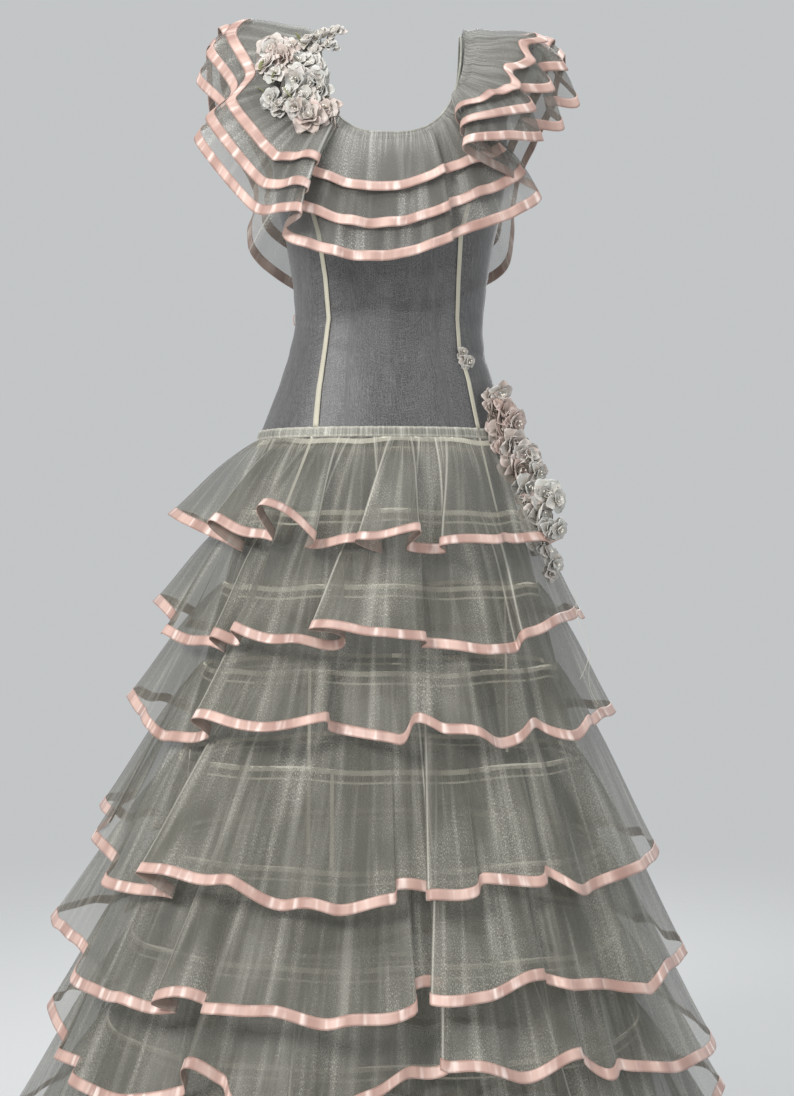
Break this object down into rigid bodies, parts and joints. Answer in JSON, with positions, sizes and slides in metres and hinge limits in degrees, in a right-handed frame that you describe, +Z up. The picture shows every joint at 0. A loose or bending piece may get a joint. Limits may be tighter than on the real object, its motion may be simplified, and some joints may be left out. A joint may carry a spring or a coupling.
{
  "type": "tiered evening gown",
  "caption": "Floor-length evening gown with a fitted princess bodice, a layered gathered collar, ribbon-edged flounces and cloth flower sprays.",
  "frame": {"origin": "middle of the shoulder line, at the top of the shoulder straps, where a wearer carries the gown", "axes": "+Z up, +X to the viewer's right, the gown's front faces -Y"},
  "size_m": [0.9029, 0.8259, 1.4328],
  "materials": {
    "organza": "sheer crinkled organza, sage grey",
    "bodice": "fine charcoal net over a thin lining",
    "ribbon": "satin ribbon, salmon pink",
    "tape": "cream seam tape and binding",
    "ivory": "matt cloth petals, off-white",
    "blush": "matt cloth petals, blush pink",
    "leaf": "matt cloth buds and leaves, olive green"
  },
  "bodies": {
    "root": {"bodice_back_left": "bodice", "bodice_back_right": "bodice", "bodice_front_centre": "bodice", "bodice_side_front_left": "bodice", "bodice_side_front_right": "bodice", "collar_lower": "organza", "collar_middle": "organza", "collar_ribbon_lower": "ribbon", "collar_ribbon_middle": "ribbon", "collar_ribbon_upper": "ribbon", "collar_upper": "organza", "hip_band": "organza", "hip_fifth": "ivory", "hip_first": "blush", "hip_fourth": "ivory", "hip_last": "ivory", "hip_second": "blush", "hip_third": "blush", "neck_binding": "tape", "ribbon_1": "ribbon", "ribbon_2": "ribbon", "ribbon_3": "ribbon", "ribbon_4": "ribbon", "ribbon_5": "ribbon", "ribbon_6": "ribbon", "ribbon_7": "ribbon", "ribbon_8": "ribbon", "seam_tape_left": "tape", "seam_tape_right": "tape", "shoulder_buds_top": "leaf", "shoulder_frilled": "blush", "shoulder_large_white": "ivory", "shoulder_low_rose": "blush", "shoulder_petal_white": "ivory", "shoulder_small_white": "ivory", "tier_1": "organza", "tier_2": "organza", "tier_3": "organza", "tier_4": "organza", "tier_5": "organza", "tier_6": "organza", "tier_7": "organza", "tier_8": "organza", "underskirt_back": "organza", "underskirt_front": "organza", "waist_bud": "leaf", "waist_tab": "ribbon"}
  },
  "joints": []
}
